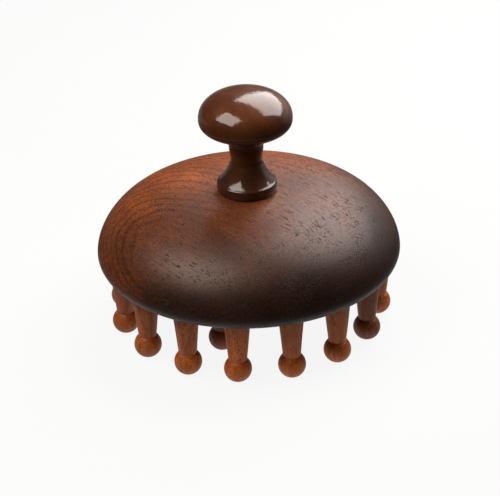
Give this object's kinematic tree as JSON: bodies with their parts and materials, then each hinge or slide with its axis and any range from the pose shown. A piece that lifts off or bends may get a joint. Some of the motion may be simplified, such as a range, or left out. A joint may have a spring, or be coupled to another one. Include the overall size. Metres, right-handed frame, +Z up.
{
  "type": "curry comb",
  "caption": "Round turned wooden comb: a domed hand-sized body with a small mushroom knob on top and rings of ball-ended pegs below.",
  "frame": {"origin": "on the surface that the peg tips stand on, directly under the middle of the body", "axes": "+Z up through the middle of the knob; -Y towards the front peg of the outer ring; +X to the right of that"},
  "size_m": [0.09, 0.09, 0.0721],
  "materials": {
    "body_wood": "satin oiled dark red-brown hardwood with open pores",
    "knob_lacquer": "glossy very dark brown lacquer",
    "peg_wood": "smooth oiled reddish-brown hardwood",
    "insert_brass": "turned",
    "fixing_steel": "zinc plated"
  },
  "bodies": {
    "root": {"body": "body_wood", "knob": "knob_lacquer", "threaded_insert": "insert_brass", "knob_screw": "fixing_steel", "screw_washer": "fixing_steel", "outer_peg_01": "peg_wood", "outer_peg_02": "peg_wood", "outer_peg_03": "peg_wood", "outer_peg_04": "peg_wood", "outer_peg_05": "peg_wood", "outer_peg_06": "peg_wood", "outer_peg_07": "peg_wood", "outer_peg_08": "peg_wood", "outer_peg_09": "peg_wood", "outer_peg_10": "peg_wood", "outer_peg_11": "peg_wood", "outer_peg_12": "peg_wood", "outer_peg_13": "peg_wood", "outer_peg_14": "peg_wood", "outer_peg_15": "peg_wood", "outer_peg_16": "peg_wood", "inner_peg_1": "peg_wood", "inner_peg_2": "peg_wood", "inner_peg_3": "peg_wood"}
  },
  "joints": []
}
